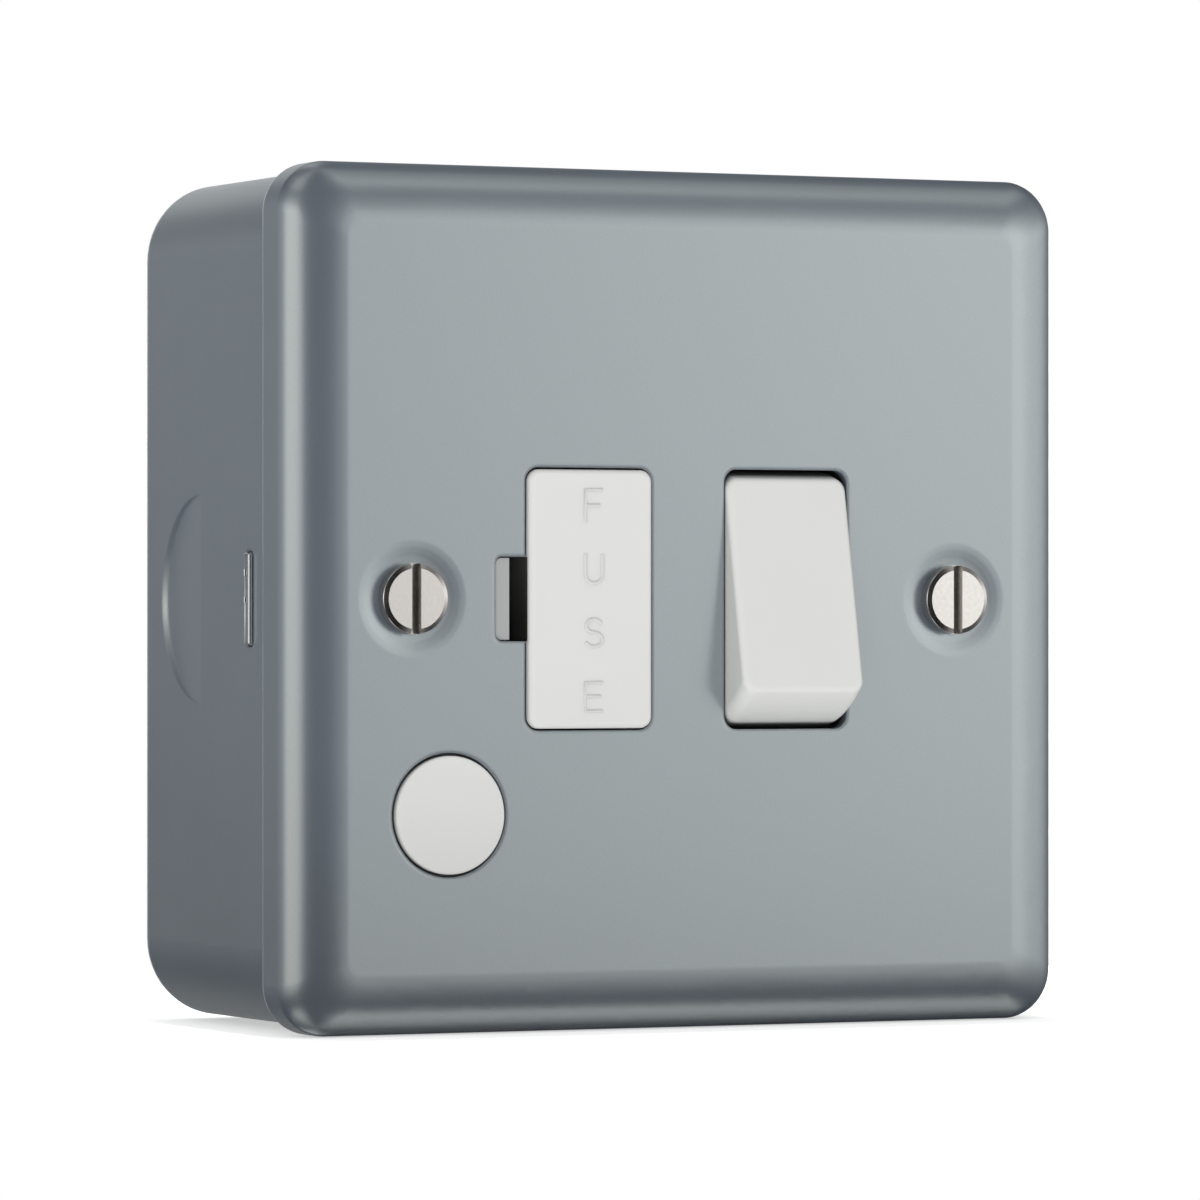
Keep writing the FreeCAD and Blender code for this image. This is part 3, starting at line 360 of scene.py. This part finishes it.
# Strokes of each letter in a unit square
strokes = {
    "F": [[(0, 0), (0, 1), (1, 1)], [(0, 0.52), (0.86, 0.52)]],
    "U": [[(0, 1)] + bend((0.5, 0.3), (0.5, 0.3), 180, 360) + [(1, 1)]],
    "S": [bend((0.5, 0.76), (0.46, 0.24), 20, 270)[:-1] + bend((0.5, 0.26), (0.5, 0.26), 90, -160)],
    "E": [[(1, 1), (0, 1), (0, 0), (1, 0)], [(0, 0.52), (0.9, 0.52)]],
}


# Node group that sweeps an oval along its paths
def sweepTool(name, material):
    tree = bpy.data.node_groups.new(name, "GeometryNodeTree")
    graph = Graph(tree)
    tree.interface.new_socket(name="Path", in_out="INPUT", socket_type="NodeSocketGeometry")
    for label in ("Half Width", "Height"):
        tree.interface.new_socket(name=label, in_out="INPUT", socket_type="NodeSocketFloat")
    tree.interface.new_socket(name="Mesh", in_out="OUTPUT", socket_type="NodeSocketGeometry")
    entry = graph.node("NodeGroupInput").socket.node
    path, halfWidth, height = [Value(graph, entry.outputs[label])
                               for label in ("Path", "Half Width", "Height")]
    circle = graph.node("GeometryNodeCurvePrimitiveCircle", {}, {"Resolution": 16, "Radius": 1.0})
    size = graph.node("ShaderNodeCombineXYZ", {}, {0: height, 1: halfWidth, 2: 1.0})
    profile = graph.node("GeometryNodeTransform", {}, {"Geometry": circle, "Scale": size})
    swept = graph.node("GeometryNodeCurveToMesh", {},
                       {"Curve": path, "Profile Curve": profile, "Fill Caps": True})
    whole = graph.node("GeometryNodeRealizeInstances", {}, {"Geometry": swept})
    made = graph.node("GeometryNodeSetMaterial", {}, {"Geometry": whole, "Material": material})
    graph.node("NodeGroupOutput", {}, {0: made})
    return tree


# Mesh of oval strips along flat paths
def sweepPaths(name, paths, tree, halfWidth, height):
    curve = bpy.data.curves.new(name + "Path", "CURVE")
    curve.dimensions = "3D"
    for points in paths:
        spline = curve.splines.new("POLY")
        spline.points.add(len(points) - 1)
        for made, point in zip(spline.points, points):
            made.co = (*point, 1)
    source = bpy.data.objects.new(name + "Path", curve)
    bpy.context.scene.collection.objects.link(source)
    modifier = source.modifiers.new("sweep", "NODES")
    modifier.node_group = tree
    sizes = {"Half Width": halfWidth, "Height": height}
    for item in tree.interface.items_tree:
        if item.name in sizes:
            modifier[item.identifier] = sizes[item.name]
    evaluated = source.evaluated_get(bpy.context.evaluated_depsgraph_get())
    mesh = bpy.data.meshes.new_from_object(evaluated)
    bpy.data.objects.remove(source)
    piece = bpy.data.objects.new(name, mesh)
    bpy.context.scene.collection.objects.link(piece)
    return piece


def rideWith(piece, body):
    for polygon in piece.data.polygons:
        polygon.use_smooth = len(polygon.vertices) == 4  # the strips, not their end caps
    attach(piece, body)
    print(piece.name + ":", len(piece.data.polygons), "faces")


def makeWord(look=wordLook):
    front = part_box("fuse_carrier")[0].y
    half = look["stroke"] / 2
    wide = look["wide"] - look["stroke"]
    tree = sweepTool("letterStroke", makeMoulding("letterMoulding", letterPlastic))
    paths = []
    for letter, (low, high) in look["letters"].items():
        tall = high - low - look["stroke"]
        for stroke in strokes[letter]:
            paths.append([((look["left"] + half + x * wide) * mm, (low + half + z * tall) * mm, 0)
                          for x, z in stroke])
    word = sweepPaths("fuseWord", paths, tree, half * mm, look["raised"] * mm)
    upright = Matrix.Rotation(math.pi / 2, 4, "X")
    word.data.transform(Matrix.Translation((0, front + look["sunk"] * mm, 0)) @ upright)
    rideWith(word, "fuse_drawer")


makeWord()


# Bare steel strips on each lug's tongue: along its outline they are a painted highlight of its edges, and
# the short ones are the marks where it is staked
stakeAndHighlightLook = {
    "steel": {"colour": (0.80, 0.82, 0.84), "roughness": 0.3, "grain": (1, 1, 1), "size": 0.4 * mm},
    "lines": {
        # Painted highlight: bright bare-steel strips along the tongue's front edge and round its rim
        "tongueEdge": {"paths": [[(-29.46, 4.4), (-29.46, -4.4)]], "face": 42.78, "size": (0.27, 0.24)},
        "tongueRim": {"paths": [[(-29.3, 4.45), (-28.55, 4.45), (-28.42, 4.32), (-28.42, -4.32),
                                 (-28.55, -4.45), (-29.3, -4.45)]], "face": 42.86, "size": (0.12, 0.13)},
        "stakeMark": {"paths": [[(-28.85, 2.3), (-28.85, 2.95)], [(-28.85, -0.35), (-28.85, 0.2)]],
                      "face": 42.86, "size": (0.36, 0.17)},
    },
}


def makeStakesAndEdgeHighlights(look=stakeAndHighlightLook):
    wallward = Matrix(((0, 0, 1, 0), (1, 0, 0, 0), (0, 1, 0, 0), (0, 0, 0, 1)))
    steel = makeMetal("bareSteel", look["steel"])
    for label, line in look["lines"].items():
        tool = sweepTool(label, steel)
        flat = [[(deep * mm, z * mm, 0) for deep, z in path] for path in line["paths"]]
        for name, side in (("Left", -1), ("Right", 1)):
            piece = sweepPaths(label + name, flat, tool, line["size"][0] * mm, line["size"][1] * mm)
            piece.data.transform(Matrix.Translation((side * line["face"] * mm, 0, 0)) @ wallward)
            rideWith(piece, "case")


makeStakesAndEdgeHighlights()


# What shiny faces see: levels by degrees to the right of straight ahead of the plate, and a share by
# degrees upwards
studio = {
    "plainLight": 0.76,
    "around": [
        (-180, 1.7), (-174, 0.7), (-167, 0.15), (-152, 0.21), (-138, 0.32), (-115, 0.38), (-104, 0.6),
        (-96, 1.15), (-84, 1.35), (-60, 1.35), (-50, 1.0), (-44, 0.2), (-34, 0.03), (-24, 0.0), (-10, 0.0),
        (0, 0.05), (10, 0.17), (20, 0.5), (25, 1.1), (31, 1.65), (40, 1.5), (55, 1.1), (75, 1.0),
        (90, 0.8), (105, 0.3), (130, 0.1), (145, 0.2), (160, 1.2), (172, 1.8), (180, 1.7)],
    "upwards": [
        (-90, 0.15), (-66, 0.42), (-52, 0.66), (-42, 0.0), (-28, 0.05), (-18, 0.22), (-8, 0.48), (0, 0.9),
        (5, 1.2), (10, 1.05), (18, 0.47), (28, 0.22), (38, 0.08), (46, 0.38), (54, 0.5), (64, 0.35),
        (90, 0.25)],
    "topLevel": 2.0,
    "warmth": (1.0, 0.965, 0.905),
    "warmFrom": (-108, -90),
    "warmTo": (-62, -45),
}


def levelRamp(shader, degrees, halfSpan, stops, topLevel):
    places = [((angle + halfSpan) / (2 * halfSpan), level / topLevel) for angle, level in stops]
    share = degrees / (2 * halfSpan) + 0.5
    return shader.node("ShaderNodeValToRGB", {"stops": places}, {0: share}) * topLevel


def makeWorld(look=studio):
    world = bpy.data.worlds.new("studio")
    bpy.context.scene.world = world
    shader = Shader(world)
    side, deep, up = shader.split(shader.node("ShaderNodeTexCoord", out=0))
    turn = side.maths("ARCTAN2", deep * -1) * (180 / math.pi)
    rise = up.maths("ARCSINE") * (180 / math.pi)
    around = levelRamp(shader, turn, 180, look["around"], look["topLevel"])
    upwards = levelRamp(shader, rise, 90, look["upwards"], look["topLevel"])
    camera, glossy, through = shader.rays()
    seen = camera.maths("MAXIMUM", through)
    level = around * upwards * glossy + (1 - glossy) * look["plainLight"]
    strength = level * (1 - seen) + seen
    warm = turn.smooth(*look["warmFrom"]) * (1 - turn.smooth(*look["warmTo"])) * glossy
    colour = shader.mix(warm, (1, 1, 1, 1), opaque(look["warmth"]))
    light = shader.node("ShaderNodeBackground", {}, {"Color": colour, "Strength": strength})
    shader.node("ShaderNodeOutputWorld", {}, {"Surface": light})


makeWorld()


# White floor with a faint shade where the part stands
floorLook = {
    "margin": 60 * mm,
    "ahead": 20 * mm,
    "drop": 0.05 * mm,
    "colour": (0.9, 0.9, 0.9),
    "glow": 0.92,
    "contactReach": (-1 * mm, 2.5 * mm),
    "contactShade": 0.6,
}


def makeFloor(look=floorLook):
    left, right = cadLow.x - look["margin"], cadHigh.x + look["margin"]
    front, back = cadLow.y - look["ahead"], cadHigh.y + look["margin"]
    low = cadLow.z - look["drop"]
    mesh = bpy.data.meshes.new("floor")
    mesh.from_pydata([(left, front, low), (right, front, low), (right, back, low), (left, back, low)],
                     [], [(0, 1, 2, 3)])
    floor = bpy.data.objects.new("floor", mesh)
    bpy.context.scene.collection.objects.link(floor)
    paper = bpy.data.materials.new("palePaper")
    shader = Shader(paper)
    across, deep, up = shader.split(shader.place())
    aside = across.maths("ABSOLUTE") - cadHigh.x
    ahead = (deep - (cadLow.y + cadHigh.y) / 2).maths("ABSOLUTE") - (cadHigh.y - cadLow.y) / 2
    away = aside.maths("MAXIMUM", 0.0).maths("POWER", 2.0) + ahead.maths("MAXIMUM", 0.0).maths("POWER", 2.0)
    shade = (1 - away.maths("SQRT").smooth(*look["contactReach"])) * look["contactShade"]
    camera, glossy, through = shader.rays()
    seen = camera.maths("MAXIMUM", glossy).maths("MAXIMUM", through)
    glow = shader.node("ShaderNodeEmission", {}, {"Color": (1, 1, 1, 1),
                                                  "Strength": seen * (1 - shade) * look["glow"]})
    sheet = shader.node("ShaderNodeBsdfDiffuse", {}, {"Color": opaque(look["colour"])})
    both = shader.node("ShaderNodeAddShader", {}, {0: glow, 1: sheet})
    shader.node("ShaderNodeOutputMaterial", {}, {"Surface": both})
    mesh.materials.append(paper)
    floor.visible_glossy = False


makeFloor()


# One large soft lamp, low on the left, that lights the rocker's end
lamps = {
    "lowSoft": {"place": (-0.50, -0.84, -0.65), "size": 0.8, "power": 5.4},
}


def makeLamps():
    for name, look in lamps.items():
        data = bpy.data.lights.new(name, "AREA")
        data.size = look["size"]
        data.energy = look["power"]
        lamp = bpy.data.objects.new(name, data)
        lamp.location = look["place"]
        aim = Vector((0, cadLow.y, 0)) - lamp.location
        lamp.rotation_euler = aim.to_track_quat("-Z", "Y").to_euler()
        lamp.visible_camera = False
        lamp.visible_glossy = False
        bpy.context.scene.collection.objects.link(lamp)


makeLamps()


# Camera that was fitted to the photo's outline and screws
view = {
    "place": (-0.3095, -0.6684, -0.0028),
    "turn": -25.52,
    "lens": 209.9,
    "shiftY": 0.0227,
}


def makeCamera(look=view):
    data = bpy.data.cameras.new("photoCamera")
    data.sensor_width = 36
    data.lens = look["lens"]
    data.shift_y = look["shiftY"]
    data.clip_start = 0.01
    camera = bpy.data.objects.new("photoCamera", data)
    camera.location = look["place"]
    camera.rotation_euler = (math.pi / 2, 0, math.radians(look["turn"]))
    bpy.context.scene.collection.objects.link(camera)
    bpy.context.scene.camera = camera


makeCamera()
bpy.context.scene.view_settings.view_transform = "Standard"
print("studio ready")
